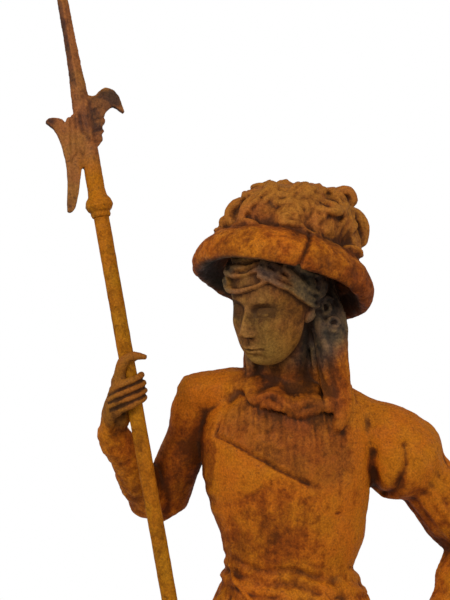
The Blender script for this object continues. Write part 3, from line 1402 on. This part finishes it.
# %% [markdown]
# ## Roughness and grain
# The same mottling and sand give the roughness and the height of the grain, so that colour and surface agree.

# %% The rust group: surface
join(rust, spread(rust, mottle, 0.3, 0.7, 0.85, 0.48), wanted["Roughness"])
height = added(rust, worked(rust, "MULTIPLY", sand, 0.55), mottle, 0.9)
join(rust, height, wanted["Height"])
print("nodes of the whole rust group:", len(rust.nodes))

# %% [markdown]
# ## Material makers
# Every material is the rust group with its own three colours. On the figure and on the halberd's head the
# group is used once for each kind of surface, and the region values choose between them. The shader is rough
# and not metallic, since rust is an oxide that hides the iron. The grain only bends the light, by a bump.

# %% Material makers
def rust_layer(tree, place, bright, middle, dark, hollow, sky_share, wash):
    node = tree.nodes.new("ShaderNodeGroup")
    node.node_tree = rust
    for label, value in zip(
        ("Place", "Bright", "Middle", "Dark", "Hollow", "Open sky", "Wash"),
        (place, bright, middle, dark, hollow, sky_share, wash),
    ):
        join(tree, value, node.inputs[label])
    return node.outputs


def read(tree, name):
    node = tree.nodes.new("ShaderNodeAttribute")
    node.attribute_name = name
    return node.outputs["Fac"]


def iron_finish(name, layers):
    finish = bpy.data.materials.new(name)
    finish.use_nodes = True
    tree = finish.node_tree
    shader = tree.nodes["Principled BSDF"]
    place = tree.nodes.new("ShaderNodeTexCoord").outputs["Object"]
    hollow, sky_share, wash = read(tree, "hollow"), read(tree, "open_sky"), read(tree, "wash")
    colour = roughness = height = None
    for region, bright, middle, dark in layers:
        made = rust_layer(tree, place, (*bright, 1), (*middle, 1), (*dark, 1), hollow, sky_share, wash)
        if colour is None:
            colour, roughness, height = made["Colour"], made["Roughness"], made["Height"]
        else:
            colour = mixed(tree, read(tree, region), colour, made["Colour"])
    join(tree, colour, shader.inputs["Base Color"])
    join(tree, roughness, shader.inputs["Roughness"])
    shader.inputs["Metallic"].default_value = 0.0
    shader.inputs["Specular IOR Level"].default_value = 0.11
    relief = tree.nodes.new("ShaderNodeBump")
    relief.inputs["Strength"].default_value = 0.85
    relief.inputs["Distance"].default_value = 0.0021
    join(tree, height, relief.inputs["Height"])
    join(tree, relief.outputs["Normal"], shader.inputs["Normal"])
    return finish


print("the rust group takes:", [socket.name for socket in rust.interface.items_tree][:7])

# %% [markdown]
# ## Four finishes
# Each surface has three colours, chosen to agree with its lit, middle and dark parts in the photograph.
# Open places are orange, shirt and hand are browner, and hair and face are greyed by what shelters them.

# %% Finishes
orange = ((0.47, 0.135, 0.005), (0.26, 0.062, 0.003), (0.115, 0.027, 0.003))
figure_iron = iron_finish(
    "figure_iron",
    [
        (None, *orange),
        ("shirt", (0.32, 0.086, 0.008), (0.195, 0.050, 0.006), (0.090, 0.026, 0.005)),
        ("hand", (0.29, 0.100, 0.011), (0.165, 0.055, 0.008), (0.062, 0.023, 0.006)),
        ("hair", (0.180, 0.105, 0.050), (0.090, 0.056, 0.034), (0.038, 0.027, 0.021)),
        ("plumes", (0.37, 0.128, 0.018), (0.23, 0.070, 0.010), (0.095, 0.027, 0.006)),
        ("skin", (0.29, 0.142, 0.032), (0.185, 0.086, 0.019), (0.086, 0.037, 0.010)),
    ],
)
shaft_orange = ((0.40, 0.140, 0.003), (0.24, 0.076, 0.002), (0.085, 0.032, 0.003))
shaft_iron = iron_finish("shaft_iron", [(None, *shaft_orange)])
brown = ((0.29, 0.108, 0.026), (0.165, 0.062, 0.020), (0.070, 0.032, 0.019))
head_iron = iron_finish("halberd_head_iron", [(None, *brown), ("socket", *shaft_orange)])
plinth_brown = ((0.30, 0.095, 0.012), (0.155, 0.047, 0.008), (0.070, 0.024, 0.008))
plinth_iron = iron_finish("plinth_iron", [(None, *plinth_brown)])
print("finishes:", [made.name for made in (figure_iron, shaft_iron, head_iron, plinth_iron)])

# %% [markdown]
# ## Put the pieces in place
# Each finished piece stands for its CAD node and rides on the one body of the statue, which has no joints.

# %% Pieces
for name, mesh, finish, slot in (
    ("figure", figure_mesh, figure_iron, "figure_iron"),
    ("halberd_head", head_mesh, head_iron, "halberd_iron"),
    ("halberd_shaft", shaft_mesh, shaft_iron, "halberd_iron"),
    ("plinth", plinth_mesh, plinth_iron, "plinth_iron"),
):
    mesh.materials.clear()
    mesh.materials.append(finish)
    mesh.shade_smooth()
    piece = as_object(name + "_cast", mesh)
    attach(piece, "root")
    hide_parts(name)
    print(piece.name, len(mesh.polygons), "faces")
